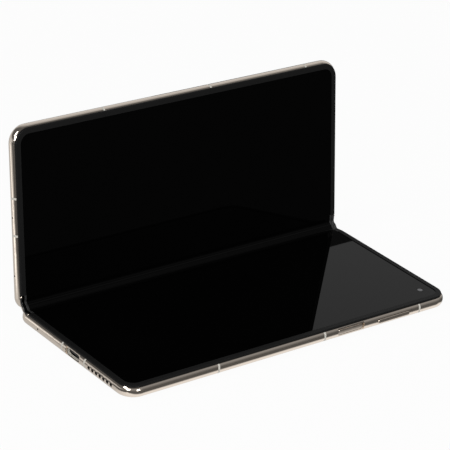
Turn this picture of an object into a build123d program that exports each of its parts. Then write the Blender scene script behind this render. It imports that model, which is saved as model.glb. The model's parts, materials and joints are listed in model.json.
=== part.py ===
from build123d import *
from math import cos, pi, radians, sin, tan
import os

# A foldable phone: two thin halves on a geared two-axis hinge, standing open at about a right
# angle. X runs along the hinge, the lower half lies flat towards -Y and the upper half stands up.
# Each half is drawn flat, with Y as the distance from the line where the halves meet and Z as the
# height above its outer face, and is then put in its place.

# Driving dimensions, mm
LENGTH = 156.7          # along the hinge
HALF_WIDTH = 73.0       # from the meeting line to the free edge
THICK = 4.8             # one half, outer face to dark rim
METAL_TOP = 4.2         # height of the metal frame
SIDE_BULGE = 1.3        # its sides are half ellipses that stand out this far
FREE_CORNER = 7.1       # plan radius at the free corners
HINGE_CORNER = 5.0      # plan radius beside the hinge
RUN_OUT = 20.0          # those corners meet the other half at this angle
ISLAND_HEIGHT = 2.0     # camera island under the lower half

# Hinge
AXIS_HEIGHT = 2.6       # fold axes above the outer face
AXIS_OFFSET = 2.35      # fold axes from the meeting line, flat
FOLD = 41.2             # turn at each axis as shown; 0 is flat, 90 is closed
ROLL_GAP = 0.05         # each half rolls this far inside the meeting line
SPINE_RADIUS = 1.8      # outside of the spine cover about each axis
SPINE_WALL = 0.45
SOCKET_RADIUS = 1.9     # hollow of the halves round the spine
END_WALL = 2.2          # ends of the halves that hide the spine's ends
SPINE_GAP = 0.15        # spine's ends to those walls
SPINE_END = LENGTH / 2 - END_WALL - SPINE_GAP
SPINE_LIP = AXIS_HEIGHT - 0.45      # its side walls stop here, under the arms
CAP_THICK = 1.0
ARM_BOTTOM = 2.35
ARM_TOP = 3.2
TEETH = 8
TRAIN = 4               # gears in a train, the outer two on the fold axes
GEAR_PITCH = 2 * AXIS_OFFSET / (TRAIN - 1)
GEAR_ADDENDUM = 0.19
GEAR_DEDENDUM = 0.25
TOOTH_TIP = 4.5         # half of a tooth's angle at its tip
TOOTH_ROOT = 13.0       # and at its root
GEAR_WIDTH = 3.0
MODULE_PLACES = (-52.0, 52.0)   # gear trains along the hinge
SHAFT_RADIUS = 0.3
SHAFT_HEAD_RADIUS = 0.42
BORE_RADIUS = 0.34
PRESS_GAP = 0.01        # shafts in the bearing walls
BEARING_WALL = 1.2
BEARING_GAP = 0.1
CHEEK_HEIGHT = 1.6      # bearing walls round the shafts
CHEEK_FOOT = 4.2
PIN_HEAD = 0.3
BASE_REACH = 6.4        # bracket's base each side of the gears
BASE_HALF_DEPTH = 2.0
BASE_THICK = 0.4
WASHERS = 6             # friction washers on each fold axis
WASHER_THICK = 0.7
WASHER_RADIUS = 0.8
WASHER_DISH = 0.25

ARM_FOOT = (12.0, 6.4)
FOOT_PLACE = 8.3        # middle of the foot from the meeting line
FOOT_CORNER = 1.2
SCREW_SPREAD = 4.0      # screws each side of the arm
SCREW_RADIUS = 0.45
SCREW_HEAD = (0.9, 0.36)        # radius, height
SCREW_LENGTH = 1.6
HEAD_SINK = 0.4
BASE_SCREW = (0.4, 0.55)        # bracket's screw: radius, length
BASE_SCREW_HEAD = (0.7, 0.35)
BASE_SCREW_HOLE = 0.42

# Wings: plates under the bend that sink as the phone closes and leave room for the display's loop
WING_PIVOT = (6.1, 3.7)     # from the meeting line, above the outer face
WING_TIP = 1.3
WING_THICK = 0.2
WING_BEAD = 0.2
WING_END = 74.8             # short of the spine's end caps
WING_SHARE = 0.16           # of the turn at each fold axis
WING_WINDOW = 4.7           # windows round the gear trains reach this far
WINDOW_GAP = (0.5, 0.4)     # room beside the trains, outside and beside the washers

# Levels inside a half, above the outer face
COVER_THICK = 0.6
CAN_LEVEL = 1.1         # shield cans
MODULE_LEVEL = 1.2      # sensor housings of the cameras
CASE_LEVEL = 1.6        # small cameras
BOARD_LEVEL = 2.5
CAVITY_TOP = 3.3
PLATE_TOP = 3.9
PANEL_TOP = 4.55
STRIP_BOTTOM = 4.05

# Insets from the outline
RIM_INSET = 0.8
RIM_WIDTH = 2.3
RIM_ROLL = 0.45
PANEL_INSET = 1.35
COVER_INSET = 2.1
WALL = 2.6
COVER_NEAR = 5.2        # covers start this far from the meeting line
COVER_CORNER = 1.5
CAVITY_NEAR = 12.2
PANEL_NEAR = 6.1        # rigid display and the plate under it
BEND_NEAR = 4.7         # the display bends between here and the meeting line
BEND_ROOM = 0.1         # and has this much room over the end walls
FIT_GAP = 0.03          # rim and rings in their seats

# Side features
BAND_WIDTH = 0.85
BAND_DEPTH = 1.0
LONG_SIDE_BANDS = (-36.7, 14.1, 62.2)
SHORT_SIDE_BANDS = (30.1, 45.0)
SIDE_LEVEL = METAL_TOP / 2      # height of the buttons and holes
FACET_DEPTH = 0.6       # flats in the bulged side at the socket and the power key
USB_PLACE = 37.2
USB_OPENING = (8.34, 2.56)
USB_SHELL = 0.2
USB_FACET = 9.0
USB_RECESS = 0.75       # socket's mouth behind the side of the frame
USB_DEPTH = 6.6
USB_BACK = 0.5
USB_LEVEL = COVER_THICK + USB_OPENING[1] / 2 + USB_SHELL    # seated on the back cover
USB_TONGUE = (4.4, 6.7, 0.7)
HOLE_DEPTH = 3.2        # through the wall into the cavity
SPEAKER_START = 48.2
SPEAKER_PITCH = 2.4
SPEAKER_HOLES = 7
SPEAKER_HOLE_RADIUS = 0.75
MIC_RADIUS = 0.4
MIC_PLACE = 13.8
TOP_MIC_PLACE = 51.6
POWER_BUTTON = (27.1, 12.5, 2.2, -0.55)     # place, length, height, how far it stands out
POWER_FACET = 12.9
VOLUME_ROCKER = (48.65, 16.3, 1.7, 0.4)
BUTTON_GAP = 0.1
BUTTON_EDGE = 0.3
FLANGE = (0.6, 1.7, 0.6)        # key's flange: past each end, height, thickness
FLANGE_GAP = 0.15
TRAY_PLACE = 20.5
TRAY_LENGTH = 14.6
TRAY_HEIGHT = 1.9
TRAY_DEPTH = 17.0
TRAY_GAP = 0.1
TRAY_FACE = 2.0         # thickness of the tray's head
CARRIER = (12.8, 1.0)   # width and height of the card carrier
CARD_ROOM = (9.0, 1.0, 2.5)     # its opening's width, and the bars left at each end

# Inside the halves
BATTERY_SPAN = (14.5, 68.5)     # from the meeting line
BATTERY_GAP = 0.15
BATTERY_EDGE = 0.5
LOWER_BATTERY = (-62.0, 2.0)    # along the hinge
UPPER_BATTERY = (-70.0, 42.0)
BOARD_SPAN = (13.2, 69.0)
LOWER_BOARD = (4.0, 74.0)
UPPER_BOARD = (46.0, 74.0)
LOWER_CANS = ((18.0, 25.0, 20.0, 16.0), (42.0, 24.0, 18.0, 14.0))      # place, width, depth
UPPER_CANS = ((58.0, 24.0, 18.0, 14.0), (58.0, 54.0, 18.0, 18.0))
SUB_BOARD_THICK = 0.6
SUB_BOARD = (10.0, 14.0, 45.0)  # width, span from the meeting line
SPEAKER_BOX = (9.5, 46.5, 66.0)
MOTOR = (6.0, 16.0, 28.0)
PART_GAP = 0.4          # parts beside the side walls

# Cameras
INNER_CAMERA = (70.2, 63.7)
INNER_CAMERA_RADIUS = 1.7
CAMERA_CASE = 5.4
CAMERA_ROOM = 6.0
COVER_CAMERA = (68.5, 37.0)
ISLAND_CENTRE = (41.5, 53.0)
ISLAND_SIZE = (57.0, 24.0)
ISLAND_CORNER = 9.0
ISLAND_EDGE = 0.9
LENSES = ((-18.5, 7.2), (0.0, 7.2), (17.0, 5.6))    # along the island, radius of the ring
RING_WIDTH = 1.2
RING_BEVEL = 0.4
LENS_APERTURE = 0.4     # of the ring's radius
FLASH = (24.2, -6.0)
FLASH_RADIUS = 1.9
FLASH_SINK = 0.1
SEAT = 0.5              # rings and flash window overlap the cover by this much
LENS_LEVEL = 0.45       # lens glass above the island's underside
LENS_THICK = 0.5


def slab(face, bottom, top):
    """A flat face in XY raised between two heights."""
    return Pos(0, 0, bottom) * extrude(face, top - bottom)


def bar(x_from, x_to, y_from, y_to, bottom, top):
    """A box by its limits."""
    size = (x_to - x_from, y_to - y_from, top - bottom)
    middle = ((x_from + x_to) / 2, (y_from + y_to) / 2, (bottom + top) / 2)
    return Pos(*middle) * Box(*size)


def along_hinge(profile, half_length):
    """A YZ profile extruded both ways along the hinge."""
    return extrude(Plane.YZ * profile, half_length, both=True)


def plan(inset, near, near_corner=0.0):
    """Plan of a half drawn in by inset and starting at near, with the free corners rounded."""
    depth = HALF_WIDTH - inset - near
    face = Pos(0, near + depth / 2) * Rectangle(LENGTH - 2 * inset, depth)
    face = fillet(face.vertices().group_by(Axis.Y)[-1], FREE_CORNER - inset)
    if near_corner > 0:
        face = fillet(face.vertices().group_by(Axis.Y)[0], near_corner)
    return face


def side_slot(length, height, depth):
    """A bar with round ends, its length along X, pointing along +Y from Y = 0."""
    return extrude(Plane.XZ * SlotOverall(length, height), -depth)


def rod(radius, x_from, x_to, y, z):
    """A round bar along X."""
    upright = rod_up(radius, 0, x_to - x_from)
    return Pos(x_from, y, z) * Rot(Y=90) * upright


def rod_up(radius, bottom, top):
    """A round bar along Z."""
    return slab(Circle(radius), bottom, top)


def turn_about(y, z, degrees):
    """Turn about a line along X through (y, z)."""
    return Pos(0, y, z) * Rot(X=degrees) * Pos(0, -y, -z)


# ---------------------------------------------------------------- halves

def knuckle_waste():
    """What is cut off above the fold so that one half can roll on the other."""
    corner = Pos(0, THICK / 2 + AXIS_HEIGHT) * Rectangle(2 * AXIS_OFFSET, THICK)
    roller = Pos(AXIS_OFFSET, AXIS_HEIGHT) * Circle(AXIS_OFFSET - ROLL_GAP)
    return along_hinge(corner - roller, LENGTH)


def spine_socket():
    """Hollow along the fold, between the end walls, for the spine and the display bend."""
    level = AXIS_HEIGHT - SOCKET_RADIUS
    round_part = Pos(AXIS_OFFSET, AXIS_HEIGHT) * Circle(SOCKET_RADIUS)
    over_lip = Pos(0, level + THICK / 2) * Rectangle(2 * AXIS_OFFSET, THICK)
    over_rail = Pos(0, ARM_BOTTOM + THICK / 2) * Rectangle(2 * PANEL_NEAR, THICK)
    return along_hinge(round_part + over_lip + over_rail, LENGTH / 2 - END_WALL)


def outline():
    """Plan of a half with all four corners; its two leaning lines end well beyond the fold."""
    lean = radians(RUN_OUT)
    side = LENGTH / 2
    tail_reach = 0.1 * side
    start = HINGE_CORNER * (cos(lean) - tan(pi / 4 - lean / 2))
    tail = start - (side - tail_reach) * tan(lean)
    left = ((-tail_reach, tail), (-side, start), (-side, HALF_WIDTH))
    right = ((side, HALF_WIDTH), (side, start), (tail_reach, tail))
    face = make_face(Polyline(*left, *right, close=True))
    face = fillet(face.vertices().group_by(Axis.Y)[-1], FREE_CORNER)
    by_width = face.vertices().filter_by(lambda corner: corner.Y < HALF_WIDTH / 2).group_by(Axis.Y)
    return fillet(by_width[-1], HINGE_CORNER)


def side_waste(face):
    """What the bulged side leaves out of a square one, carried round the outline."""
    path = Wire(face.edges().sort_by(Axis.Y)[1:])
    start = path @ 0 + Vector(0, 0, METAL_TOP / 2)
    along = path % 0
    square = Pos(2 - SIDE_BULGE, 0) * Rectangle(4, 2 * METAL_TOP)
    bulge = Pos(-SIDE_BULGE, 0) * Ellipse(SIDE_BULGE, METAL_TOP / 2)
    section = Plane(start, x_dir=(along.Y, -along.X, 0), z_dir=along) * (square - bulge)
    return sweep(section, path=path)


def envelope():
    """Outside of a half: bulged sides and rounded corners, square and rolled at the fold."""
    face = outline()
    block = slab(face, 0, METAL_TOP) - side_waste(face)
    block = block & bar(-LENGTH, LENGTH, 0, 2 * HALF_WIDTH, -1, THICK)
    return block - knuckle_waste()


def band_cutters():
    """Thin blocks across the frame where the insulating bands go."""
    half = BAND_WIDTH / 2
    reach = 4 * BAND_DEPTH
    cutters = []
    for place in LONG_SIDE_BANDS:
        cutters.append(bar(place - half, place + half, HALF_WIDTH - reach, HALF_WIDTH + 1, -1, THICK))
    for place in SHORT_SIDE_BANDS:
        for middle in (-LENGTH / 2, LENGTH / 2):
            cutters.append(bar(middle - reach, middle + reach, place - half, place + half, -1, THICK))
    return cutters


def bands(shell):
    """Insulating inlays that follow the side of the frame."""
    core = slab(plan(BAND_DEPTH, -1), -1, THICK) + slab(plan(RIM_INSET, -1), PLATE_TOP, THICK)
    pieces = [(shell & cutter) - core for cutter in band_cutters()]
    return Compound([piece.solids().sort_by(SortBy.VOLUME)[-1] for piece in pieces])


def hollow_half(shell):
    """Frame of a half: rim, side walls, hinge rail and the plate under the display."""
    frame = shell - spine_socket()
    frame -= slab(plan(RIM_INSET, -1), PLATE_TOP, THICK)
    frame -= slab(plan(WALL, CAVITY_NEAR), -1, CAVITY_TOP)
    frame -= slab(plan(COVER_INSET, COVER_NEAR, COVER_CORNER), -1, COVER_THICK)
    reach = LENGTH / 2 - WALL
    frame -= bar(-reach, reach, -1, CAVITY_NEAR + 0.1, ARM_BOTTOM, CAVITY_TOP)
    under_bend = LENGTH / 2 - PANEL_INSET + BEND_ROOM
    frame -= bar(-under_bend, under_bend, -1, PANEL_NEAR - BEND_ROOM, PLATE_TOP - BEND_ROOM, THICK)
    frame -= rod(WING_BEAD + 0.05, -WING_END - 0.1, WING_END + 0.1, *WING_PIVOT)
    for place in screw_places():
        frame -= Pos(*place) * rod_up(SCREW_RADIUS + 0.02, 1.0, ARM_BOTTOM + 1)
    return frame


def edge_hole(side, place, radius):
    """A round hole in a short side, as a cutter."""
    ends = sorted((side * (LENGTH / 2 - HOLE_DEPTH), side * (LENGTH / 2 + 1)))
    return rod(radius, *ends, place, SIDE_LEVEL)


def usb_block(width, height, depth):
    """A bar with round ends going in from the left short side."""
    bar_in = Rot(Z=-90) * side_slot(width, height, depth)
    return Pos(-LENGTH / 2, USB_PLACE, USB_LEVEL) * bar_in


def usb_facet():
    """Flat milled across the bulged side round the socket, as a cutter."""
    half = USB_FACET / 2
    outer = -LENGTH / 2
    return bar(outer - 1, outer + FACET_DEPTH, USB_PLACE - half, USB_PLACE + half, -1, THICK + 1)


def power_facet():
    """Flat milled across the bulged side for the power key, as a cutter."""
    half = POWER_FACET / 2
    place = POWER_BUTTON[0]
    return bar(place - half, place + half, HALF_WIDTH - FACET_DEPTH, HALF_WIDTH + 1, -1, THICK + 1)


def button_block(button, grow, start, end):
    """A button's bar with round ends between two distances from the free edge."""
    place, length, height, _ = button
    block = side_slot(length + 2 * grow, height + 2 * grow, end - start)
    return Pos(place, HALF_WIDTH + start, SIDE_LEVEL) * block


def tray_block(grow, depth):
    """The tray's face, grown by a gap, going in from the right short side."""
    block = Rot(Z=90) * side_slot(TRAY_LENGTH + 2 * grow, TRAY_HEIGHT + 2 * grow, depth)
    return Pos(LENGTH / 2, TRAY_PLACE, SIDE_LEVEL) * block


def lower_frame(shell):
    frame = hollow_half(shell) - usb_facet() - power_facet()
    length, height = (size + 2 * USB_SHELL + 0.04 for size in USB_OPENING)
    frame -= usb_block(length, height, USB_DEPTH + 0.9)
    for number in range(SPEAKER_HOLES):
        frame -= edge_hole(-1, SPEAKER_START + number * SPEAKER_PITCH, SPEAKER_HOLE_RADIUS)
    frame -= edge_hole(-1, MIC_PLACE, MIC_RADIUS)
    frame -= edge_hole(1, TOP_MIC_PLACE, MIC_RADIUS)
    for button in (POWER_BUTTON, VOLUME_ROCKER):
        frame -= button_block(button, BUTTON_GAP, -HOLE_DEPTH, 1)
    frame -= tray_block(TRAY_GAP, HOLE_DEPTH)
    return frame - Pos(*INNER_CAMERA) * rod_up(INNER_CAMERA_RADIUS + 0.5, CAVITY_TOP - 1, THICK)


def upper_frame(shell):
    frame = hollow_half(shell)
    for place in (MIC_PLACE, USB_PLACE):
        frame -= edge_hole(-1, place, MIC_RADIUS)
    for number in range(SPEAKER_HOLES - 1):
        frame -= edge_hole(1, SPEAKER_START + number * SPEAKER_PITCH, SPEAKER_HOLE_RADIUS)
    return frame


def rim():
    """Dark rim round three sides of the display, rolled over on its outside."""
    top = slab(plan(RIM_INSET + FIT_GAP, PANEL_NEAR), PLATE_TOP, THICK)
    top = fillet(top.edges().group_by(Axis.Z)[-1].sort_by(Axis.Y)[1:], RIM_ROLL)
    top -= slab(plan(PANEL_INSET - FIT_GAP, PANEL_NEAR - 1), 0, PANEL_TOP)
    return top - slab(plan(RIM_INSET + RIM_WIDTH, PANEL_NEAR - 1), 0, THICK + 1)


def panel():
    return slab(plan(PANEL_INSET, PANEL_NEAR), PLATE_TOP, PANEL_TOP)


def cover():
    """Outer cover plate let into the back of a half."""
    gap = 0.05
    plate = slab(plan(COVER_INSET + gap, COVER_NEAR + gap, COVER_CORNER), 0, COVER_THICK)
    return fillet(plate.edges().group_by(Axis.Z)[0], COVER_THICK / 2)


# ---------------------------------------------------------------- display bend

def bend_point(distance, height):
    """Where a point of the flat display goes when the spine has turned by FOLD."""
    run = max(0.0, min(1.0, 1 - distance / BEND_NEAR))
    turn = radians(FOLD * run * run * (3 - 2 * run))
    across = AXIS_OFFSET - distance
    up = height - AXIS_HEIGHT
    y = across * cos(turn) - up * sin(turn) - AXIS_OFFSET
    z = across * sin(turn) + up * cos(turn) + AXIS_HEIGHT
    return (y, z)


def display_strip():
    """One half of the flexible stretch, from the rigid panel to the middle of the spine."""
    stations = [BEND_NEAR * step / 5 for step in range(6)]
    top = Spline([bend_point(place, PANEL_TOP) for place in stations])
    bottom = Spline([bend_point(place, STRIP_BOTTOM) for place in stations])
    root_top = (-PANEL_NEAR, PANEL_TOP)
    root_bottom = (-PANEL_NEAR, STRIP_BOTTOM)
    tail_top = Line(root_top, bend_point(BEND_NEAR, PANEL_TOP))
    tail_bottom = Line(root_bottom, bend_point(BEND_NEAR, STRIP_BOTTOM))
    end = Line(root_top, root_bottom)
    middle = Line(bend_point(0, PANEL_TOP), bend_point(0, STRIP_BOTTOM))
    profile = make_face([top, bottom, tail_top, tail_bottom, end, middle])
    return along_hinge(profile, LENGTH / 2 - PANEL_INSET)


def wing():
    """Support plate under the bend, with a bead along its root and windows for the gear trains."""
    pivot_y, pivot_z = WING_PIVOT
    plate = bar(-WING_END, WING_END, WING_TIP, pivot_y, pivot_z, pivot_z + WING_THICK)
    plate += rod(WING_BEAD, -WING_END, WING_END, pivot_y, pivot_z)
    cheek = train_half_width() + PIN_HEAD
    outer_reach = cheek + WINDOW_GAP[0]
    inner_reach = cheek + WINDOW_GAP[0] + WASHERS * WASHER_THICK + WINDOW_GAP[1]
    for side in (-1, 1):
        middle = side * MODULE_PLACES[1]
        ends = sorted((middle + side * outer_reach, middle - side * inner_reach))
        plate -= bar(*ends, 0, WING_WINDOW, 0, THICK)
    plate = fillet(plate.edges().filter_by(Axis.Z), 2 * WING_THICK)
    return turn_about(pivot_y, pivot_z, WING_SHARE * FOLD) * plate


# ---------------------------------------------------------------- hinge

def train_half_width():
    """From the middle of a gear train to the outside of its bearing walls."""
    return GEAR_WIDTH / 2 + BEARING_GAP + BEARING_WALL


def train_places():
    """The gear axes across the flat hinge."""
    return [-AXIS_OFFSET + number * GEAR_PITCH for number in range(TRAIN)]


def spine_profile(radius):
    """Section of the spine: round about both axes and flat below."""
    left = Pos(-AXIS_OFFSET, AXIS_HEIGHT) * Circle(radius)
    right = Pos(AXIS_OFFSET, AXIS_HEIGHT) * Circle(radius)
    between = Pos(0, AXIS_HEIGHT) * Rectangle(2 * AXIS_OFFSET, 2 * radius)
    return left + right + between


def below(profile, level):
    """The part of a YZ profile under a level."""
    return profile & (Pos(0, level - THICK) * Rectangle(4 * THICK, 2 * THICK))


def spine_cover():
    section = spine_profile(SPINE_RADIUS) - spine_profile(SPINE_RADIUS - SPINE_WALL)
    shell = along_hinge(below(section, SPINE_LIP), SPINE_END - CAP_THICK)
    hole = rod_up(BASE_SCREW_HOLE, AXIS_HEIGHT - SPINE_RADIUS + SPINE_WALL / 2, AXIS_HEIGHT)
    for place in bracket_screw_places():
        shell -= Pos(place, 0, 0) * hole
    return shell


def spine_end_caps():
    cap = extrude(Plane.YZ * below(spine_profile(SPINE_RADIUS), SPINE_LIP), CAP_THICK)
    cap = Pos(SPINE_END - CAP_THICK, 0, 0) * cap
    return Compound([cap, mirror(cap, about=Plane.YZ)])


def gear(phase):
    """A small spur gear about X with one tooth pointing at the given angle."""
    root = GEAR_PITCH / 2 - GEAR_DEDENDUM
    tip = GEAR_PITCH / 2 + GEAR_ADDENDUM
    flanks = ((root, -TOOTH_ROOT), (tip, -TOOTH_TIP), (tip, TOOTH_TIP), (root, TOOTH_ROOT))
    corners = []
    for tooth in range(TEETH):
        for radius, offset in flanks:
            angle = radians(phase + tooth * 360 / TEETH + offset)
            corners.append((radius * cos(angle), radius * sin(angle)))
    face = make_face(Polyline(*corners, close=True)) - Circle(BORE_RADIUS)
    return along_hinge(face, GEAR_WIDTH / 2)


def hinge_arm(phase):
    """Gear, arm and screwed foot in one piece, about an axis AXIS_OFFSET from the meeting line."""
    wheel = Pos(0, AXIS_OFFSET, AXIS_HEIGHT) * gear(phase)
    half = GEAR_WIDTH / 2
    neck = bar(-half, half, AXIS_OFFSET, FOOT_PLACE, ARM_BOTTOM, ARM_TOP)
    foot = Pos(0, FOOT_PLACE) * RectangleRounded(*ARM_FOOT, FOOT_CORNER)
    piece = wheel + neck + slab(foot, ARM_BOTTOM, ARM_TOP)
    piece -= rod(BORE_RADIUS, -GEAR_WIDTH, GEAR_WIDTH, AXIS_OFFSET, AXIS_HEIGHT)
    for side in (-1, 1):
        hole = rod_up(SCREW_RADIUS + 0.05, 0, THICK)
        hole += rod_up(SCREW_HEAD[0] + 0.05, ARM_TOP - HEAD_SINK, THICK)
        piece -= Pos(side * SCREW_SPREAD, FOOT_PLACE) * hole
    return piece


def hinge_arms(phase):
    return Compound([Pos(place, 0, 0) * hinge_arm(phase) for place in MODULE_PLACES])


def screw_places():
    """Plan places of the screws that hold the arms' feet."""
    spread = (-SCREW_SPREAD, SCREW_SPREAD)
    return [(middle + offset, FOOT_PLACE) for middle in MODULE_PLACES for offset in spread]


def arm_screws():
    seat = ARM_TOP - HEAD_SINK
    head_radius, head_height = SCREW_HEAD
    screw = rod_up(head_radius, seat, seat + head_height) + rod_up(SCREW_RADIUS, seat - SCREW_LENGTH, seat)
    return Compound([Pos(*place) * screw for place in screw_places()])


def hinge_bracket():
    """Base with two bearing walls that carry the four gear shafts."""
    inner = GEAR_WIDTH / 2 + BEARING_GAP
    outer = train_half_width()
    floor = AXIS_HEIGHT - SPINE_RADIUS + SPINE_WALL
    tall = AXIS_HEIGHT - floor
    cheek = Pos(0, AXIS_HEIGHT) * SlotCenterToCenter(2 * AXIS_OFFSET, CHEEK_HEIGHT)
    cheek += Pos(0, floor + tall / 2) * Rectangle(CHEEK_FOOT, tall)
    block = along_hinge(cheek, outer)
    base = (-BASE_HALF_DEPTH, BASE_HALF_DEPTH, floor, floor + BASE_THICK)
    block += bar(-BASE_REACH, BASE_REACH, *base)
    block -= bar(-inner, inner, -2 * THICK, 2 * THICK, floor + BASE_THICK / 2, THICK)
    for place in train_places():
        block -= rod(SHAFT_RADIUS + PRESS_GAP, -2 * outer, 2 * outer, place, AXIS_HEIGHT)
    for side in (-1, 1):
        block -= Pos(side * bracket_screw_place(), 0) * rod_up(BASE_SCREW_HOLE, 0, AXIS_HEIGHT)
    return block


def bracket_screw_place():
    return (train_half_width() + BASE_REACH) / 2


def bracket_screw_places():
    offsets = (-bracket_screw_place(), bracket_screw_place())
    return [middle + offset for middle in MODULE_PLACES for offset in offsets]


def bracket_screws():
    """Screws from the brackets' bases into the spine cover."""
    top = AXIS_HEIGHT - SPINE_RADIUS + SPINE_WALL + BASE_THICK
    radius, length = BASE_SCREW
    head_radius, head_height = BASE_SCREW_HEAD
    screw = rod_up(radius, top - length, top) + rod_up(head_radius, top, top + head_height)
    return Compound([Pos(place, 0, 0) * screw for place in bracket_screw_places()])


def both_modules(piece):
    """A piece of the right gear train and its mirror image in the left one."""
    right = Pos(MODULE_PLACES[1], 0, 0) * piece
    return right.solids() + mirror(right, about=Plane.YZ).solids()


def hinge_shafts():
    """Headed pins, four to a gear train; the two fold axes go on through their friction washers."""
    outer = train_half_width()
    pins = []
    for number, place in enumerate(train_places()):
        on_fold_axis = number in (0, TRAIN - 1)
        inner = outer + WASHERS * WASHER_THICK if on_fold_axis else outer
        pin = rod(SHAFT_RADIUS, -inner - PIN_HEAD, outer + PIN_HEAD, place, AXIS_HEIGHT)
        pin += rod(SHAFT_HEAD_RADIUS, -inner - PIN_HEAD, -inner, place, AXIS_HEIGHT)
        pin += rod(SHAFT_HEAD_RADIUS, outer, outer + PIN_HEAD, place, AXIS_HEIGHT)
        pins += both_modules(pin)
    return Compound(pins)


def friction_washers():
    """Stacks of dished washers on the fold axes; they hold the phone at any angle."""
    start = -train_half_width()
    hollow = WASHER_RADIUS - WASHER_DISH
    bore = SHAFT_RADIUS + PRESS_GAP
    edge = []
    for number in range(WASHERS):
        x = start - number * WASHER_THICK
        edge += [(x, hollow), (x - WASHER_THICK / 2, WASHER_RADIUS)]
    end = start - WASHERS * WASHER_THICK
    section = make_face(Polyline((start, bore), *edge, (end, hollow), (end, bore), close=True))
    stack = revolve(section, Axis.X)
    stacks = []
    for place in (-AXIS_OFFSET, AXIS_OFFSET):
        stacks += both_modules(Pos(0, place, AXIS_HEIGHT) * stack)
    return Compound(stacks)


def idler_pair(number):
    """The same idler of both gear trains."""
    half_tooth = 180 / TEETH if number == 1 else 0
    y = train_places()[number]
    return Compound([Pos(place, y, AXIS_HEIGHT) * gear(half_tooth) for place in MODULE_PLACES])


# ---------------------------------------------------------------- inside the halves

def soft_block(x_from, x_to, y_from, y_to, bottom, top, corner):
    """A box with rounded plan corners."""
    face = RectangleRounded(x_to - x_from, y_to - y_from, corner)
    return slab(Pos((x_from + x_to) / 2, (y_from + y_to) / 2) * face, bottom, top)


def battery(ends):
    cell = soft_block(*ends, *BATTERY_SPAN, COVER_THICK + BATTERY_GAP, CAVITY_TOP, 3.0)
    levels = cell.edges().group_by(Axis.Z)
    return fillet(levels[-1] + levels[0], BATTERY_EDGE)


def board(ends, cans):
    """Circuit board hung under the plate, with shield cans on its outer side."""
    piece = soft_block(*ends, *BOARD_SPAN, BOARD_LEVEL, CAVITY_TOP, 1.5)
    for x, y, width, depth in cans:
        can = RectangleRounded(width, depth, 0.8)
        piece += slab(Pos(x, y) * can, CAN_LEVEL, BOARD_LEVEL)
    return piece


def camera_room(place):
    """Cutter for a small camera's housing."""
    return Pos(*place, THICK / 2) * Box(CAMERA_ROOM, CAMERA_ROOM, THICK)


def small_camera(place, barrel_from, barrel_to):
    """Round barrel on a square housing hung under the plate."""
    case = slab(RectangleRounded(CAMERA_CASE, CAMERA_CASE, 0.8), CASE_LEVEL, CAVITY_TOP)
    return Pos(*place) * (case + rod_up(INNER_CAMERA_RADIUS, barrel_from, barrel_to))


def main_board():
    piece = board(LOWER_BOARD, LOWER_CANS)
    for x, y, radius in lens_centres():
        side = module_side(radius) + PART_GAP
        piece -= Pos(x, y, THICK / 2) * Box(side, side, THICK)
    right = LENGTH / 2
    room = TRAY_LENGTH / 2 + 0.7
    piece -= bar(right - 1.2 * TRAY_DEPTH, right, TRAY_PLACE - room, TRAY_PLACE + room, 0, THICK)
    return piece - camera_room(INNER_CAMERA)


def upper_board():
    return board(UPPER_BOARD, UPPER_CANS) - camera_room(COVER_CAMERA)


def usb_receptacle():
    width, height = USB_OPENING
    sleeve = usb_block(width + 2 * USB_SHELL, height + 2 * USB_SHELL, USB_DEPTH)
    sleeve -= usb_block(width, height, USB_DEPTH - USB_BACK)
    return sleeve & bar(-LENGTH / 2 + USB_RECESS, 0, 0, HALF_WIDTH, -1, THICK)


def usb_tongue():
    root = -LENGTH / 2 + USB_DEPTH - USB_BACK
    length, width, height = USB_TONGUE
    tongue = Pos(root - length / 2, USB_PLACE, USB_LEVEL) * Box(length, width, height)
    return fillet(tongue.edges().filter_by(Axis.Z).group_by(Axis.X)[0], 0.4)


def left_block(size, bottom, top, corner):
    """A block beside the left wall: width, then where it starts and ends from the meeting line."""
    left = -LENGTH / 2 + WALL + PART_GAP
    width, start, end = size
    return soft_block(left, left + width, start, end, bottom, top, corner)


def speaker_module():
    box = left_block(SPEAKER_BOX, COVER_THICK + 0.2, CAVITY_TOP, 1.5)
    return fillet(box.edges().group_by(Axis.Z)[0], 0.4)


def sub_board():
    plate = left_block(SUB_BOARD, CAVITY_TOP - SUB_BOARD_THICK, CAVITY_TOP, 1.0)
    left = -LENGTH / 2
    room = USB_OPENING[0] / 2 + 1
    return plate - bar(left, left + USB_DEPTH + 2.4, USB_PLACE - room, USB_PLACE + room, 0, THICK)


def vibration_motor():
    case = left_block(MOTOR, COVER_THICK + 0.3, CAVITY_TOP - SUB_BOARD_THICK, 0.8)
    return fillet(case.edges().group_by(Axis.Z)[0], 0.3)


def button_piece(button):
    """Key with a rounded face and a flange behind the frame's wall."""
    place, length, _, stands_out = button
    behind = -WALL - FLANGE_GAP
    key = button_block(button, 0, behind, stands_out)
    key = fillet(key.edges().group_by(Axis.Y)[-1], BUTTON_EDGE)
    past, height, thickness = FLANGE
    wide = (place, length + 2 * past, height, 0)
    return key + button_block(wide, 0, behind - thickness, behind)


def sim_tray(shell):
    """Card tray: a face that follows the frame's side and an open carrier behind it."""
    width, height = CARRIER
    room, end_bar, root_bar = CARD_ROOM
    right = LENGTH / 2 - TRAY_FACE
    left = right - TRAY_DEPTH
    y = TRAY_PLACE
    z = SIDE_LEVEL
    carrier = bar(left, right, y - width / 2, y + width / 2, z - height / 2, z + height / 2)
    carrier -= bar(left + end_bar, right - root_bar, y - room / 2, y + room / 2, z - 0.2, THICK)
    return (tray_block(0, TRAY_FACE) & shell) + carrier


# ---------------------------------------------------------------- cameras

def lens_centres():
    return [(ISLAND_CENTRE[0] + along, ISLAND_CENTRE[1], radius) for along, radius in LENSES]


def module_side(radius):
    """Side of the square sensor housing behind a ring."""
    return 2 * (radius - RING_WIDTH + 0.1)


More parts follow.
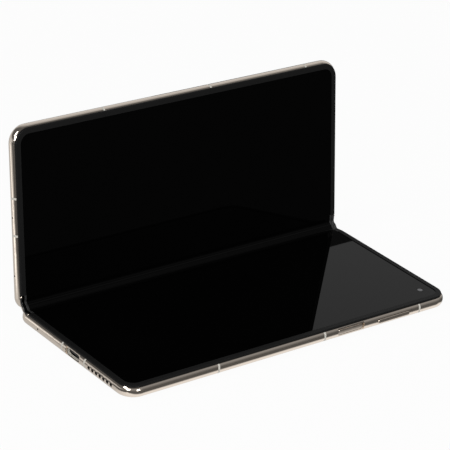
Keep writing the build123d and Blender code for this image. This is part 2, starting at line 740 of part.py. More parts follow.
def lens_bores(clearance, bottom, top):
    """Cutters for the lenses, coaxial with them."""
    return [Pos(x, y) * rod_up(radius + clearance, bottom, top) for x, y, radius in lens_centres()]


def flash_spot():
    return Pos(ISLAND_CENTRE[0] + FLASH[0], ISLAND_CENTRE[1] + FLASH[1])


def camera_island():
    body = slab(Pos(*ISLAND_CENTRE) * RectangleRounded(*ISLAND_SIZE, ISLAND_CORNER), -ISLAND_HEIGHT, 0)
    body = fillet(body.edges().group_by(Axis.Z)[0], ISLAND_EDGE)
    for bore in lens_bores(0, -ISLAND_HEIGHT - 1, 1):
        body -= bore
    return body - flash_spot() * rod_up(FLASH_RADIUS, -ISLAND_HEIGHT - 1, 1)


def lens_rings():
    rings = []
    for x, y, radius in lens_centres():
        section = Circle(radius - FIT_GAP) - Circle(radius - RING_WIDTH)
        ring = slab(Pos(x, y) * section, -ISLAND_HEIGHT, 0)
        inner_edge = ring.edges().group_by(Axis.Z)[0].sort_by(SortBy.LENGTH)[0]
        rings.append(chamfer(inner_edge, RING_BEVEL))
    return Compound(rings)


def lens_glass():
    bottom = LENS_LEVEL - ISLAND_HEIGHT
    return Compound(lens_bores(-RING_WIDTH - FIT_GAP, bottom, bottom + LENS_THICK))


def camera_modules():
    """Lens barrels on their square sensor housings."""
    bottom = LENS_LEVEL + LENS_THICK - ISLAND_HEIGHT
    modules = []
    for x, y, radius in lens_centres():
        tube = Circle(radius - RING_WIDTH - 0.1) - Circle(radius * LENS_APERTURE)
        barrel = slab(tube, bottom, MODULE_LEVEL)
        side = module_side(radius)
        housing = slab(RectangleRounded(side, side, 1.0), MODULE_LEVEL, CAVITY_TOP)
        modules.append(Pos(x, y) * (barrel + housing))
    return Compound(modules)


def back_cover():
    plate = cover()
    for bore in lens_bores(-SEAT, -1, 2):
        plate -= bore
    return plate - flash_spot() * rod_up(FLASH_RADIUS - SEAT, -1, 2)


def flash_window():
    return flash_spot() * rod_up(FLASH_RADIUS - FIT_GAP, FLASH_SINK - ISLAND_HEIGHT, 0)


# ---------------------------------------------------------------- putting it together

SPINE_PLACE = turn_about(-AXIS_OFFSET, AXIS_HEIGHT, FOLD)
UPPER_PLACE = SPINE_PLACE * turn_about(AXIS_OFFSET, AXIS_HEIGHT, FOLD)


def in_lower(shape):
    return mirror(shape, about=Plane.XZ)


def in_upper(shape):
    return UPPER_PLACE * shape


def in_spine(shape):
    return SPINE_PLACE * shape


def strip_in_upper(strip):
    """The upper half's strip is the lower one's mirror image in the plane between the halves."""
    return SPINE_PLACE * mirror(SPINE_PLACE.inverse() * strip, about=Plane.XZ)


def build_nodes():
    shell = envelope()
    inlays = bands(shell)
    grooved = shell - inlays
    strip = display_strip()
    lens_hole = Cylinder(INNER_CAMERA_RADIUS + 0.02, 2 * THICK)
    lower = {
        "lower_frame": lower_frame(grooved),
        "lower_antenna_bands": inlays,
        "back_cover": back_cover(),
        "camera_island": camera_island(),
        "camera_lens_rings": lens_rings(),
        "camera_lens_glass": lens_glass(),
        "camera_modules": camera_modules(),
        "flash_window": flash_window(),
        "lower_battery": battery(LOWER_BATTERY),
        "main_board": main_board(),
        "sub_board": sub_board(),
        "usb_receptacle": usb_receptacle(),
        "usb_tongue": usb_tongue(),
        "speaker_module": speaker_module(),
        "vibration_motor": vibration_motor(),
        "inner_camera": small_camera(INNER_CAMERA, CASE_LEVEL, PANEL_TOP - 0.05),
        "lower_display": panel() - Pos(*INNER_CAMERA) * lens_hole,
        "lower_rim": rim(),
        "power_button": button_piece(POWER_BUTTON),
        "volume_rocker": button_piece(VOLUME_ROCKER),
        "sim_tray": sim_tray(shell),
        "lower_hinge_arms": hinge_arms(180 - FOLD),
        "lower_arm_screws": arm_screws(),
        "lower_wing": wing(),
    }
    upper = {
        "upper_frame": upper_frame(grooved),
        "upper_antenna_bands": inlays,
        "cover_display": cover() - Pos(*COVER_CAMERA) * lens_hole,
        "cover_camera": small_camera(COVER_CAMERA, 0.1, CAVITY_TOP),
        "upper_battery": battery(UPPER_BATTERY),
        "upper_board": upper_board(),
        "upper_display": panel(),
        "upper_rim": rim(),
        "upper_hinge_arms": hinge_arms(180 - FOLD + 180 / TEETH),
        "upper_arm_screws": arm_screws(),
        "upper_wing": wing(),
    }
    spine = {
        "spine_cover": spine_cover(),
        "spine_end_caps": spine_end_caps(),
        "hinge_brackets": Compound([Pos(place, 0, 0) * hinge_bracket() for place in MODULE_PLACES]),
        "bracket_screws": bracket_screws(),
        "hinge_shafts": hinge_shafts(),
        "friction_washers": friction_washers(),
        "idler_gears_lower": idler_pair(1),
        "idler_gears_upper": idler_pair(2),
    }
    nodes = {name: in_lower(shape) for name, shape in lower.items()}
    nodes.update({name: in_upper(shape) for name, shape in upper.items()})
    nodes.update({name: in_spine(shape) for name, shape in spine.items()})
    nodes["lower_display_strip"] = strip
    nodes["upper_display_strip"] = strip_in_upper(strip)
    return nodes


os.makedirs("parts", exist_ok=True)
nodes = build_nodes()
limits = Compound(list(nodes.values())).bounding_box()
middle_x = (limits.min.X + limits.max.X) / 2
middle_y = (limits.min.Y + limits.max.Y) / 2
origin_shift = Pos(-middle_x, -middle_y, -limits.min.Z)
for name, shape in nodes.items():
    export_step(origin_shift * shape, f"parts/{name}.step")
print("shift", origin_shift.position, "size", limits.size)
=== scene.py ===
import json
import math

import bmesh
import bpy
from mathutils import Matrix, Vector


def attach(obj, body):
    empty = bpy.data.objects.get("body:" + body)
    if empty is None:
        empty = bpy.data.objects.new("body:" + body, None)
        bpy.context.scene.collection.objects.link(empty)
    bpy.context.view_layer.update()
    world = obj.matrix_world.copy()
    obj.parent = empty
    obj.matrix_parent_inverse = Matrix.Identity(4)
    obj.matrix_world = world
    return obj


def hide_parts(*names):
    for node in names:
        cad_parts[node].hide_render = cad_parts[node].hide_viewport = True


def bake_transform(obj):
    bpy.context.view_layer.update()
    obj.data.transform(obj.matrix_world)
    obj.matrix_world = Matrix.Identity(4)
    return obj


# A foldable phone standing open. Lengths are in mm in the flat drawing of one half: x along the
# hinge, the distance from the line where the halves meet, and the height above the outer face.
# to_row() turns a point of the assembled phone into the row frame's metres.

MM = 0.001
ROW_SHIFT = Vector((0.0, 30.2287, 2.0))     # from the row frame's origin to the meeting line

# Driving dimensions, as in the part's source
SIDE = 156.7 / 2                # hinge side's middle to its ends
AXIS_OFFSET = 2.35              # fold axes from the meeting line
AXIS_HEIGHT = 2.6
FOLD = math.radians(41.2)       # turn at each axis as shown
PANEL_TOP = 4.55
PANEL_INSET = 1.35
STRIP_BOTTOM = 4.05
PANEL_NEAR = 6.1                # the rigid display starts here
BEND_NEAR = 4.7                 # and the bend is between here and the meeting line
BEND_SLACK = 0.02               # its last points are wholly on the spine

# Pieces over the ends of the bend; insets are from the side
BEND_STEPS = 28
BORDER_INSETS = (3.4, 2.45)
BORDER_LEVELS = (4.4, 4.78)
BORDER_ROUND = 0.2
BAND_INSETS = (2.33, 0.93)
BAND_NEAR = 5.8
BAND_BOTTOM = 3.95
BAND_ROUND = 0.5
BAND_ENDS = {"left": ("end_gloss", 4.5), "right": ("border_film", 4.74)}     # finish and top
STUD_INSET, STUD_DISTANCE = 1.2, 5.5
STUD_DOME = ((0.0, 4.62), (0.2, 4.6), (0.36, 4.53), (0.46, 4.42), (0.5, 4.3), (0.5, 4.0),
             (0.0, 4.0))        # radius and height

# Left side and inner camera
SPEAKER_PLACES = [48.2 + 2.4 * number for number in range(7)]
SPEAKER_LEVEL = 2.1
SPEAKER_RADIUS = 0.73
# Depths of the black discs that paint the shade in the speaker holes
SPEAKER_SHADE_DEPTHS = (0.35, 0.75)     # from the side
USB_PLACE, USB_LEVEL = 37.2, 2.08
USB_WIDTH, USB_HEIGHT = 8.3, 2.52
USB_LINING = 0.08               # its thickness
USB_LINING_SPAN = (0.78, 1.75)  # from the side
USB_UPPER_REACH, USB_LOWER_REACH = 0.2, 5.6     # along those walls, past the round end
USB_STEPS = 16
CAMERA_X, CAMERA_PLACE = 70.2, 63.7
CAMERA_MASK = ((1.7, 4.503), (1.7, 4.545), (1.12, 4.545), (1.05, 4.503))

# Meshes and finishes
HALVINGS = 40                   # steps of the search for a point of the bend
SHARP_ANGLE = math.radians(30)
MERGE_DISTANCE = 1e-7           # metres
PATCH_DETAIL, GRAIN_DETAIL = 3.0, 2.0
GRAIN_FINENESS = 9              # grains across a patch


# ---------------------------------------------------------------- places

def to_row(x, y, z):
    """A point of the assembled phone, mm from the meeting line, in the row frame."""
    return (Vector((x, y, z)) + ROW_SHIFT) * MM


def turned(y, z, angle, centre):
    """A YZ point turned about a fold axis."""
    across, up = y - centre[0], z - centre[1]
    c, s = math.cos(angle), math.sin(angle)
    return centre[0] + across * c - up * s, centre[1] + across * s + up * c


LOWER_AXIS = (-AXIS_OFFSET, AXIS_HEIGHT)
SPINE_DIRECTION = (math.cos(FOLD), math.sin(FOLD))


def along_spine(y, z):
    return y * SPINE_DIRECTION[0] + z * SPINE_DIRECTION[1]


BEND_START = along_spine(-BEND_NEAR, (PANEL_TOP + STRIP_BOTTOM) / 2)
BEND_END = along_spine(*turned(0.0, PANEL_TOP, FOLD, LOWER_AXIS)) - BEND_SLACK


def share(y, z):
    """How far a point of the bend has gone over from the half to the spine."""
    t = (along_spine(y, z) - BEND_START) / (BEND_END - BEND_START)
    t = min(1.0, max(0.0, t))
    return t * t * (3 - 2 * t)


def bent(distance, height):
    """Where a point of the flat display is at rest, turned by its own share of the fold."""
    low, high = 0.0, 1.0
    for _ in range(HALVINGS):
        middle = (low + high) / 2
        if share(*turned(-distance, height, FOLD * middle, LOWER_AXIS)) > middle:
            low = middle
        else:
            high = middle
    return turned(-distance, height, FOLD * (low + high) / 2, LOWER_AXIS)


def mirrored(y, z):
    """Mirror image of a point in the plane between the halves."""
    y, z = turned(y, z, -FOLD, LOWER_AXIS)
    return turned(-y, z, FOLD, LOWER_AXIS)


def at_rest(x, y, z, upper):
    """A point drawn on the lower half, or its image on the upper one, in the row frame."""
    return to_row(x, *mirrored(y, z)) if upper else to_row(x, y, z)


# ---------------------------------------------------------------- meshes

def new_object(name, work):
    """An object of a finished mesh."""
    mesh = bpy.data.meshes.new(name)
    work.to_mesh(mesh)
    work.free()
    obj = bpy.data.objects.new(name, mesh)
    bpy.context.scene.collection.objects.link(obj)
    return obj


def smooth_object(name, work):
    """A closed piece with smooth shading, its sharp edges kept sharp."""
    bmesh.ops.recalc_face_normals(work, faces=work.faces)
    obj = new_object(name, work)
    obj.data.shade_smooth()
    obj.data.set_sharp_from_angle(angle=SHARP_ANGLE)
    return obj


def join_rings(work, rings):
    """Faces from each closed ring of corners to the next."""
    for first, second in zip(rings, rings[1:]):
        for number in range(len(first)):
            after = (number + 1) % len(first)
            work.faces.new((first[number], first[after], second[after], second[number]))


def swept(name, rings):
    """Closed rings of points joined one to the next, with flat ends."""
    work = bmesh.new()
    rings = [[work.verts.new(point) for point in ring] for ring in rings]
    join_rings(work, rings)
    work.faces.new(rings[0])
    work.faces.new(rings[-1])
    return smooth_object(name, work)


def turned_piece(name, profile, place, steps=36):
    """A closed profile of (radius, along) points turned round an axis; place() sets each point."""
    work = bmesh.new()
    rings = []
    for step in range(steps):
        angle = math.tau * step / steps
        points = [(radius * math.cos(angle), radius * math.sin(angle), along)
                  for radius, along in profile]
        rings.append([work.verts.new(place(*point)) for point in points])
    join_rings(work, rings + rings[:1])
    bmesh.ops.remove_doubles(work, verts=work.verts, dist=MERGE_DISTANCE)
    bmesh.ops.dissolve_degenerate(work, edges=work.edges, dist=MERGE_DISTANCE)
    return smooth_object(name, work)


def rounded_section(x_from, x_to, bottom, top, radius, steps):
    """A section that is square below and has rounded upper corners."""
    points = [(x_from, bottom), (x_to, bottom)]
    for centre_x, first in ((x_to - radius, 0), (x_from + radius, 90)):
        for step in range(steps + 1):
            angle = math.radians(first + 90 * step / steps)
            points.append((centre_x + radius * math.cos(angle),
                           top - radius + radius * math.sin(angle)))
    return points


# ---------------------------------------------------------------- nodes

class Nodes:
    """Short ways to add nodes to the tree of a material or world."""

    def __init__(self, owner):
        owner.use_nodes = True
        self.tree = owner.node_tree

    def put(self, value, socket):
        """Sets a number or colour, or links an output."""
        if isinstance(value, (int, float, tuple)):
            socket.default_value = value
        else:
            self.tree.links.new(value, socket)

    def add(self, kind, *inputs, **settings):
        """A node with its first inputs put in order."""
        made = self.tree.nodes.new("ShaderNode" + kind)
        for name, setting in settings.items():
            setattr(made, name, setting)
        for value, socket in zip(inputs, made.inputs):
            self.put(value, socket)
        return made

    def noise(self, scale, detail):
        """Noise in the object's own coordinates; scale is per metre."""
        made = self.add("TexNoise", self.add("TexCoord").outputs["Object"])
        made.inputs["Scale"].default_value = scale
        made.inputs["Detail"].default_value = detail
        return made.outputs["Fac"]

    def spread(self, source, start, end, low=0.0, high=1.0):
        """Goes from low to high as the source goes from start to end."""
        return self.add("MapRange", source, start, end, low, high).outputs["Result"]

    def blend(self, factor, first, second):
        """Mixes two colours."""
        made = self.add("Mix", data_type="RGBA")
        for name, value in (("Factor", factor), ("A", first), ("B", second)):
            self.put(value, made.inputs[name])
        return made.outputs["Result"]

    def maths(self, operation, *values):
        """Maths on two or more values, one after the other."""
        result = values[0]
        for value in values[1:]:
            result = self.add("Math", result, value, operation=operation).outputs[0]
        return result

    def ramp(self, source, stops):
        """Greys at places along a 0 to 1 value."""
        made = self.add("ValToRGB", source)
        elements = made.color_ramp.elements
        while len(elements) < len(stops):
            elements.new(0.5)
        for element, (place, level) in zip(elements, stops):
            element.position = place
            element.color = (level, level, level, 1)
        return made.outputs["Color"]

    def light(self, kind, level, colour=(1, 1, 1, 1)):
        return self.add(kind, colour, level).outputs[0]

    def mix(self, factor, first, second):
        """Mixes two shaders."""
        return self.add("MixShader", factor, first, second).outputs[0]

    def rays(self):
        """1 for rays from the camera, 1 for rays from metal or glass, and 1 for diffuse rays."""
        path = self.add("LightPath").outputs
        from_mirror = self.maths("MAXIMUM", path["Is Glossy Ray"], path["Is Transmission Ray"])
        return path["Is Camera Ray"], from_mirror, path["Is Diffuse Ray"]


# ---------------------------------------------------------------- finishes

def finish(name, first, second, roughness, scale, bump=0.0, **values):
    """A material whose colour, gloss and surface all vary a little; bump is in mm."""
    material = bpy.data.materials.new(name)
    nodes = Nodes(material)
    inputs = nodes.tree.nodes["Principled BSDF"].inputs
    for key, value in values.items():
        inputs[key.replace("_", " ")].default_value = value
    patches = nodes.noise(scale, PATCH_DETAIL)
    nodes.put(nodes.blend(patches, (*first, 1), (*second, 1)), inputs["Base Color"])
    grain = nodes.noise(scale * GRAIN_FINENESS, GRAIN_DETAIL)
    nodes.put(nodes.spread(grain, 0.0, 1.0, *roughness), inputs["Roughness"])
    if bump:
        bumped = nodes.add("Bump")
        for key, value in (("Strength", 1.0), ("Distance", bump * MM), ("Height", grain)):
            nodes.put(value, bumped.inputs[key])
        nodes.put(bumped.outputs["Normal"], inputs["Normal"])
    return material


def grey(value, warmth=0.0):
    """A grey, a little warm where warmth is above 0."""
    return (value * (1 + warmth), value, value * (1 - warmth))


METAL = {"Metallic": 1.0}
# Two colours, range of roughness, patches per metre, and other values
FINISHES = {
    "champagne_metal": ((0.86, 0.76, 0.66), (0.82, 0.72, 0.62), (0.07, 0.13), 60, METAL),
    "button_metal": ((0.84, 0.74, 0.64), (0.80, 0.70, 0.60), (0.09, 0.15), 80, METAL),
    "island_metal": ((0.78, 0.70, 0.60), (0.73, 0.65, 0.55), (0.28, 0.38), 700,
                     METAL | {"bump": 0.004}),
    "spine_metal": ((0.74, 0.66, 0.57), (0.70, 0.62, 0.53), (0.18, 0.26), 300, METAL),
    "lens_ring": ((0.70, 0.62, 0.52), (0.64, 0.56, 0.46), (0.10, 0.18), 200, METAL),
    "hinge_steel": (grey(0.44, 0.03), grey(0.50, 0.03), (0.26, 0.40), 400,
                    METAL | {"bump": 0.006}),
    "gear_steel": (grey(0.56, 0.02), grey(0.62, 0.02), (0.20, 0.32), 500, METAL),
    "screw_steel": (grey(0.36), grey(0.42), (0.22, 0.34), 500, METAL),
    "wing_steel": (grey(0.26), grey(0.30), (0.30, 0.42), 300, METAL),
    "pouch_cell": (grey(0.30), grey(0.36), (0.30, 0.45), 250, {"bump": 0.01, "Metallic": 0.9}),
    # Near black: painted shade inside the USB socket.
    "usb_steel": (grey(0.012), grey(0.018), (0.34, 0.46), 600, {"Metallic": 0.3}),
    "socket_lining": ((0.72, 0.68, 0.60), (0.66, 0.62, 0.55), (0.45, 0.60), 800,
                      {"bump": 0.004, "Metallic": 0.15}),
    "antenna_polymer": ((0.56, 0.54, 0.49), (0.50, 0.48, 0.43), (0.42, 0.55), 400,
                        {"bump": 0.004}),
    "back_glass": ((0.74, 0.69, 0.62), (0.71, 0.66, 0.59), (0.34, 0.42), 300,
                   {"bump": 0.003, "Coat_Weight": 0.35, "Coat_Roughness": 0.12}),
    "lens_glass": ((0.006, 0.007, 0.012), (0.010, 0.009, 0.014), (0.02, 0.05), 80,
                   {"Coat_Weight": 1.0, "Coat_Roughness": 0.02}),
    "flash_lens": ((0.90, 0.86, 0.70), (0.84, 0.79, 0.60), (0.20, 0.30), 900, {"bump": 0.05}),
    "circuit_board": ((0.015, 0.10, 0.06), (0.02, 0.13, 0.08), (0.25, 0.40), 500,
                      {"bump": 0.01}),
    "black_part": (grey(0.020), grey(0.028), (0.45, 0.60), 500, {"bump": 0.006}),
    "grille_black": (grey(0.004), grey(0.006), (0.60, 0.80), 3000,
                     {"bump": 0.01, "Specular_IOR_Level": 0.15}),
    "rim_polymer": (grey(0.0078), grey(0.0092), (0.30, 0.38), 500,
                    {"bump": 0.002, "Specular_IOR_Level": 0.08}),
    "border_film": (grey(0.020), grey(0.024), (0.30, 0.38), 500,
                    {"bump": 0.002, "Specular_IOR_Level": 0.3}),
    "end_gloss": (grey(0.0030), grey(0.0040), (0.14, 0.20), 500, {"Specular_IOR_Level": 0.5}),
    "display_glass": (grey(0.0004), grey(0.0007), (0.012, 0.020), 40, {"IOR": 1.2}),
    "flex_display": (grey(0.0004), grey(0.0007), (0.020, 0.035), 40, {"IOR": 1.2}),
    "cover_glass": (grey(0.0030), grey(0.0036), (0.015, 0.025), 40, {"IOR": 1.3}),
}
MATERIALS = {name: finish(name, *measures, **values)
             for name, (*measures, values) in FINISHES.items()}


def dress_nodes(frame):
    """Gives every CAD node the finish of its own material slot."""
    for part in frame["record"]["subparts"]:
        obj = frame["nodes"][part["node"]]
        obj.data.materials.clear()
        obj.data.materials.append(MATERIALS[part["material_slot"]])


def carried(obj, finish_name, body):
    """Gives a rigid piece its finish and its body."""
    obj.data.materials.append(MATERIALS[finish_name])
    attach(obj, body)


# ---------------------------------------------------------------- the bend of the display

def bend_strip(name, section, near, upper, finish_name):
    """A strip over the bend with a section of (x, height) points."""
    rings = []
    for step in range(BEND_STEPS + 1):
        distance = near * (1 - step / BEND_STEPS)
        rings.append([at_rest(x, *bent(distance, height), upper) for x, height in section])
    strip = swept(name, rings)
    strip.data.materials.append(MATERIALS[finish_name])
    start, end = ([place * part for part in SPINE_DIRECTION] for place in (BEND_START, BEND_END))
    start, end = at_rest(0, *start, upper), at_rest(0, *end, upper)
    if upper:
        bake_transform(strip)
    else:
        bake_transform(strip)
    return strip


def build_bend():
    """The flexible display over the hinge, with a border film and a band at each end."""
    edge = SIDE - PANEL_INSET
    film = [(-edge, STRIP_BOTTOM), (edge, STRIP_BOTTOM), (edge, PANEL_TOP), (-edge, PANEL_TOP)]
    for half in ("lower", "upper"):
        upper = half == "upper"
        strip = bend_strip(f"{half}_bend_film", film, PANEL_NEAR, upper,
                           "flex_display")
        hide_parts(f"{half}_display_strip")
        for end, sign in (("left", -1), ("right", 1)):
            places = sorted(sign * (SIDE - inset) for inset in BORDER_INSETS)
            border = rounded_section(*places, *BORDER_LEVELS, BORDER_ROUND, steps=4)
            bend_strip(f"{half}_bend_border_{end}", border, PANEL_NEAR, upper,
                       "border_film")
            finish_name, top = BAND_ENDS[end]
            places = sorted(sign * (SIDE - inset) for inset in BAND_INSETS)
            band = rounded_section(*places, BAND_BOTTOM, top, BAND_ROUND, steps=8)
            bend_strip(f"{half}_bend_end_{end}", band, BAND_NEAR, upper,
                       finish_name)


def build_studs():
    """Small domed studs beside the ends of the rims."""
    for half in ("lower", "upper"):
        for end, sign in (("left", -1), ("right", 1)):
            middle = sign * (SIDE - STUD_INSET)
            stud = turned_piece(f"{half}_stud_{end}", STUD_DOME,
                                lambda a, b, h: at_rest(middle + a, -STUD_DISTANCE - b, h,
                                                        half == "upper"))
            carried(stud, "champagne_metal", f"{half}_half")


# ---------------------------------------------------------------- ports and the inner camera

def build_speaker_shade():
    """Black discs in the speaker holes: painted shade."""
    outer, inner = SPEAKER_SHADE_DEPTHS
    plug = ((0.0, outer), (SPEAKER_RADIUS, outer), (SPEAKER_RADIUS, inner), (0.0, inner))
    for number, distance in enumerate(SPEAKER_PLACES, 1):
        disc = turned_piece(f"speaker_shade_disc_{number}", plug,
                            lambda a, b, h: to_row(h - SIDE, -distance - a, SPEAKER_LEVEL + b),
                            steps=24)
        carried(disc, "grille_black", "lower_half")


def build_usb_lit_lining():
    """A pale lining in the socket's mouth: its round end and parts of its flat walls. Its pale
    colour is painted light where light falls in near the mouth, and the near-black socket behind it
    is painted shade.
    """
    round_end = USB_PLACE - (USB_WIDTH - USB_HEIGHT) / 2

    def wall(radius):
        arc = []
        for step in range(USB_STEPS + 1):
            angle = math.pi * step / USB_STEPS
            arc.append((round_end - radius * math.sin(angle), radius * math.cos(angle)))
        return [(round_end + USB_UPPER_REACH, radius), *arc, (round_end + USB_LOWER_REACH, -radius)]

    section = wall(USB_HEIGHT / 2) + wall(USB_HEIGHT / 2 - USB_LINING)[::-1]
    rings = [[to_row(inset - SIDE, -distance, USB_LEVEL + rise) for distance, rise in section]
             for inset in USB_LINING_SPAN]
    carried(swept("usb_lit_lining", rings), "socket_lining", "lower_half")


def build_camera_mask():
    """A dark ring round the inner camera."""
    mask = turned_piece("inner_camera_mask", CAMERA_MASK,
                        lambda a, b, h: to_row(CAMERA_X + a, -CAMERA_PLACE - b, h), steps=48)
    carried(mask, "display_glass", "lower_half")


# ---------------------------------------------------------------- camera and lamps

CAMERA_AZIMUTH = -38.985
CAMERA_ELEVATION = 25.293
CAMERA_ROLL = 4.645
CAMERA_DISTANCE = 913.149
CAMERA_TARGET = (3.262, -20.015, 29.867)
FOCAL_PIXELS = 2337.96
IMAGE_WIDTH = 450
SENSOR_WIDTH = 36

# Place, what it points at, width and height, all in metres, and watts
LAMPS = {
    "key": ((-0.98, -0.60, 0.55), (0, 0, 0.03), (0.42, 0.42), 5),
    "side": ((-0.84, -0.04, 0.96), (0, 0, 0.05), (0.26, 0.56), 3.5),
    "front": ((0.02, -1.18, 0.30), (0, 0, 0.02), (0.36, 0.36), 5),
}


def place_camera():
    azimuth, elevation, roll = (math.radians(angle) for angle in
                                (CAMERA_AZIMUTH, CAMERA_ELEVATION, CAMERA_ROLL))
    level = math.cos(elevation)
    back = Vector((math.sin(azimuth) * level, -math.cos(azimuth) * level, math.sin(elevation)))
    right = Vector((math.cos(azimuth), math.sin(azimuth), 0))
    up = back.cross(right)
    axes = Matrix((right * math.cos(roll) + up * math.sin(roll),
                   up * math.cos(roll) - right * math.sin(roll), back)).transposed().to_4x4()
    data = bpy.data.cameras.new("camera")
    data.sensor_width = SENSOR_WIDTH
    data.lens = FOCAL_PIXELS / IMAGE_WIDTH * SENSOR_WIDTH
    data.clip_start, data.clip_end = 0.05, 50
    camera = bpy.data.objects.new("camera", data)
    bpy.context.scene.collection.objects.link(camera)
    place = to_row(*CAMERA_TARGET) + back * CAMERA_DISTANCE * MM
    camera.matrix_world = Matrix.Translation(place) @ axes
    bpy.context.scene.camera = camera


def build_lamps():
    for name, (place, target, size, power) in LAMPS.items():
        data = bpy.data.lights.new(name, "AREA")
        data.shape = "RECTANGLE"
        data.size, data.size_y = size
        data.energy = power
        lamp = bpy.data.objects.new(name, data)
        bpy.context.scene.collection.objects.link(lamp)
        lamp.location = place
        lamp.rotation_mode = "QUATERNION"
        lamp.rotation_quaternion = (Vector(target) - Vector(place)).to_track_quat("-Z", "Y")


# ---------------------------------------------------------------- the studio

# What metal and glass see round the phone: greys by the sine of the height, for the dim room in
# front of it and the pale walls behind it on the left and on the right.
FRONT_WALL = ((0.0, 0.12), (0.25, 0.19), (0.50, 0.28), (0.65, 0.33), (0.80, 0.10), (1.0, 0.10))
LEFT_WALL = ((0.0, 0.62), (0.12, 0.58), (0.28, 0.10), (1.0, 0.10))
RIGHT_WALL = ((0.0, 0.66), (0.45, 0.66), (0.70, 0.55), (1.0, 0.30))
FRONT_TO_BACK = (-0.15, 0.25)       # where one goes over into the other, along a direction's Y
LEFT_TO_RIGHT = (-0.10, 0.30)       # and along its X
SOFT_LIGHT = 0.5

# And under it: a painted reflection of a pale table, a glow on the floor that only metal and glass
# see. It ends just in front and to the right of the phone, and slants away on the left; near the
# phone it is brighter like a pool of light, and a painted streak of light crosses it. Each pair is
# where the table has ended and where it is full, in mm.
TABLE_FRONT = (-79.0, -75.5)
TABLE_RIGHT = (84.0, 80.0)
TABLE_LEFT = (-90.0, -85.0)
TABLE_SLANT = (-75.0, -35.0)        # along y + SLANT * x
SLANT = 0.37
# The near level and where it sets in are painted light: the reflected table is brighter close to
# the phone, like a pool of light.
TABLE_DARK, TABLE_PALE, TABLE_NEAR_GLOW = 0.02, 0.54, 0.95
TABLE_GLOW_FALLOFF = (-60.0, -75.0)      # from TABLE_PALE to TABLE_NEAR_GLOW
# A painted streak of light on the reflected table.
LIGHT_STREAK_LINE = (0.8, 0.6, 87.0)      # a bright streak along 0.8 x + 0.6 y + 87 = 0
LIGHT_STREAK_EDGE = (22.0, 12.0)
LIGHT_STREAK_START = (5.0, 25.0)
LIGHT_STREAK_LEVEL = 0.9

FLOOR_REACH = 6.0                   # metres
FLOOR_DROP = 0.05
FLOOR_COLOUR = (0.92, 0.92, 0.92, 1)
FLOOR_ROUGHNESS = 0.9
FLOOR_WHITE = 0.985
# The mirror share is how much of the painted table reflection metal and glass see.
CAMERA_SHARE, MIRROR_SHARE = 0.97, 0.9      # of the plain white and of the table

# The dark card is a painted dark reflection: it glows faintly for metal and glass and is clear to
# every other ray.
FLAG_FROM, FLAG_TO = 60.0, 420.0    # a dark card behind the phone on the right
FLAG_PLACE, FLAG_TOP = 120.0, 92.0
FLAG_LEVEL = 0.06


def build_world():
    """Soft white light, a white background, and walls that metal and glass see."""
    world = bpy.data.worlds.new("studio")
    bpy.context.scene.world = world
    nodes = Nodes(world)
    nodes.tree.nodes.clear()
    seen, from_mirror, _ = nodes.rays()
    x, y, z = nodes.add("SeparateXYZ", nodes.add("TexCoord").outputs["Generated"]).outputs
    front, left, right = (nodes.ramp(z, wall) for wall in (FRONT_WALL, LEFT_WALL, RIGHT_WALL))
    back = nodes.blend(nodes.spread(x, *LEFT_TO_RIGHT), left, right)
    walls = nodes.blend(nodes.spread(y, *FRONT_TO_BACK), front, back)
    lit = nodes.mix(from_mirror, nodes.light("Background", SOFT_LIGHT),
                    nodes.light("Background", 1.0, walls))
    shown = nodes.mix(seen, lit, nodes.light("Background", 1.0))
    nodes.put(shown, nodes.add("OutputWorld").inputs["Surface"])


def painted_table_reflection(nodes):
    """The painted reflection that metal and glass see in the floor: how bright its glowing table
    shape is.
    """
    x, y, _ = nodes.add("SeparateXYZ", nodes.add("TexCoord").outputs["Object"]).outputs
    x = nodes.maths("MULTIPLY", x, 1 / MM)
    y = nodes.maths("ADD", nodes.maths("MULTIPLY", y, 1 / MM), -ROW_SHIFT.y)
    slant = nodes.maths("ADD", nodes.maths("MULTIPLY", x, SLANT), y)
    leftward = nodes.maths("MAXIMUM", nodes.spread(x, *TABLE_LEFT),
                           nodes.spread(slant, *TABLE_SLANT))
    table = nodes.maths("MINIMUM", nodes.spread(y, *TABLE_FRONT),
                        nodes.spread(x, *TABLE_RIGHT), leftward)
    # Painted light: brighter near the phone, like a pool of light.
    pale = nodes.spread(y, *TABLE_GLOW_FALLOFF, TABLE_PALE, TABLE_NEAR_GLOW)
    # A painted streak of light.
    along_x, along_y, offset = LIGHT_STREAK_LINE
    off_line = nodes.maths("ADD", nodes.maths("MULTIPLY", x, along_x),
                           nodes.maths("MULTIPLY", y, along_y), offset)
    off_line = nodes.add("Math", off_line, operation="ABSOLUTE").outputs[0]
    light_streak = nodes.maths("MULTIPLY", nodes.spread(off_line, *LIGHT_STREAK_EDGE, 0.0, LIGHT_STREAK_LEVEL),
                         nodes.spread(y, *LIGHT_STREAK_START))
    level = nodes.maths("MULTIPLY", nodes.maths("ADD", pale, light_streak), table)
    return nodes.maths("MAXIMUM", level, TABLE_DARK)


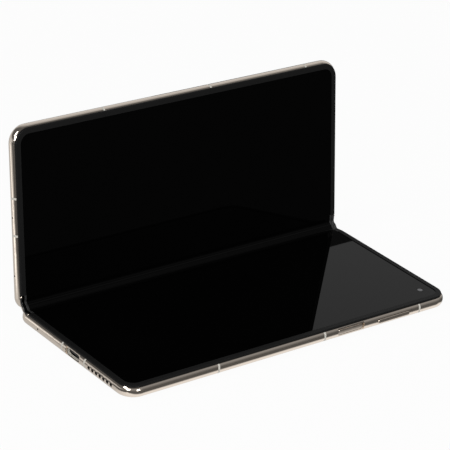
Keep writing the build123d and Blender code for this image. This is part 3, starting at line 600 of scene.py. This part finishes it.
def build_floor():
    """A wide floor: white with a trace of the shadow, a painted reflection of a table with painted
    light to metal and glass, and clear from below and for the soft light, so that the outer faces
    show and are lit."""
    work = bmesh.new()
    bmesh.ops.create_grid(work, x_segments=8, y_segments=8, size=FLOOR_REACH)
    floor = new_object("floor", work)
    floor.location.z = -FLOOR_DROP * MM
    material = bpy.data.materials.new("floor")
    nodes = Nodes(material)
    shader = nodes.tree.nodes["Principled BSDF"]
    nodes.put(FLOOR_COLOUR, shader.inputs["Base Color"])
    nodes.put(FLOOR_ROUGHNESS, shader.inputs["Roughness"])
    seen, from_mirror, diffuse = nodes.rays()
    plain = nodes.mix(nodes.maths("MULTIPLY", from_mirror, MIRROR_SHARE), shader.outputs[0],
                      nodes.light("Emission", painted_table_reflection(nodes)))
    shown = nodes.mix(nodes.maths("MULTIPLY", seen, CAMERA_SHARE), plain,
                      nodes.light("Emission", FLOOR_WHITE))
    clear = nodes.maths("MAXIMUM", nodes.add("NewGeometry").outputs["Backfacing"], diffuse)
    surface = nodes.mix(clear, shown, nodes.add("BsdfTransparent").outputs[0])
    nodes.put(surface, nodes.tree.nodes["Material Output"].inputs["Surface"])
    floor.data.materials.append(material)


def build_dark_reflection_card():
    """A painted dark reflection: a card that glows faintly for metal and glass, and that every
    other ray passes through.
    """
    work = bmesh.new()
    corners = ((FLAG_FROM, 0), (FLAG_TO, 0), (FLAG_TO, FLAG_TOP), (FLAG_FROM, FLAG_TOP))
    work.faces.new([work.verts.new(to_row(x, FLAG_PLACE, z)) for x, z in corners])
    dark_reflection_card = new_object("dark_reflection_card", work)
    material = bpy.data.materials.new("dark_reflection_card")
    nodes = Nodes(material)
    nodes.tree.nodes.clear()
    _, from_mirror, _ = nodes.rays()
    surface = nodes.mix(from_mirror, nodes.add("BsdfTransparent").outputs[0],
                        nodes.light("Emission", FLAG_LEVEL))
    nodes.put(surface, nodes.add("OutputMaterial").inputs["Surface"])
    dark_reflection_card.data.materials.append(material)


# ---------------------------------------------------------------- the script

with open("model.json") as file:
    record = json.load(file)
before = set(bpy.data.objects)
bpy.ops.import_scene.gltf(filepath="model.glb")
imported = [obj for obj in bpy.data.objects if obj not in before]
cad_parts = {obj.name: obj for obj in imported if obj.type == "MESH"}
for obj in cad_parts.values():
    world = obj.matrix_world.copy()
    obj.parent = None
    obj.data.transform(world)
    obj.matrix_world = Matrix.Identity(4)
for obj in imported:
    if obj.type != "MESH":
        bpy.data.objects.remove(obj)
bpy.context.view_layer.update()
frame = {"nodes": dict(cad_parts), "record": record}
dress_nodes(frame)
build_bend()
build_studs()
build_speaker_shade()
build_usb_lit_lining()
build_camera_mask()
place_camera()
build_lamps()
build_world()
build_floor()
build_dark_reflection_card()
bpy.context.scene.view_settings.view_transform = "Standard"
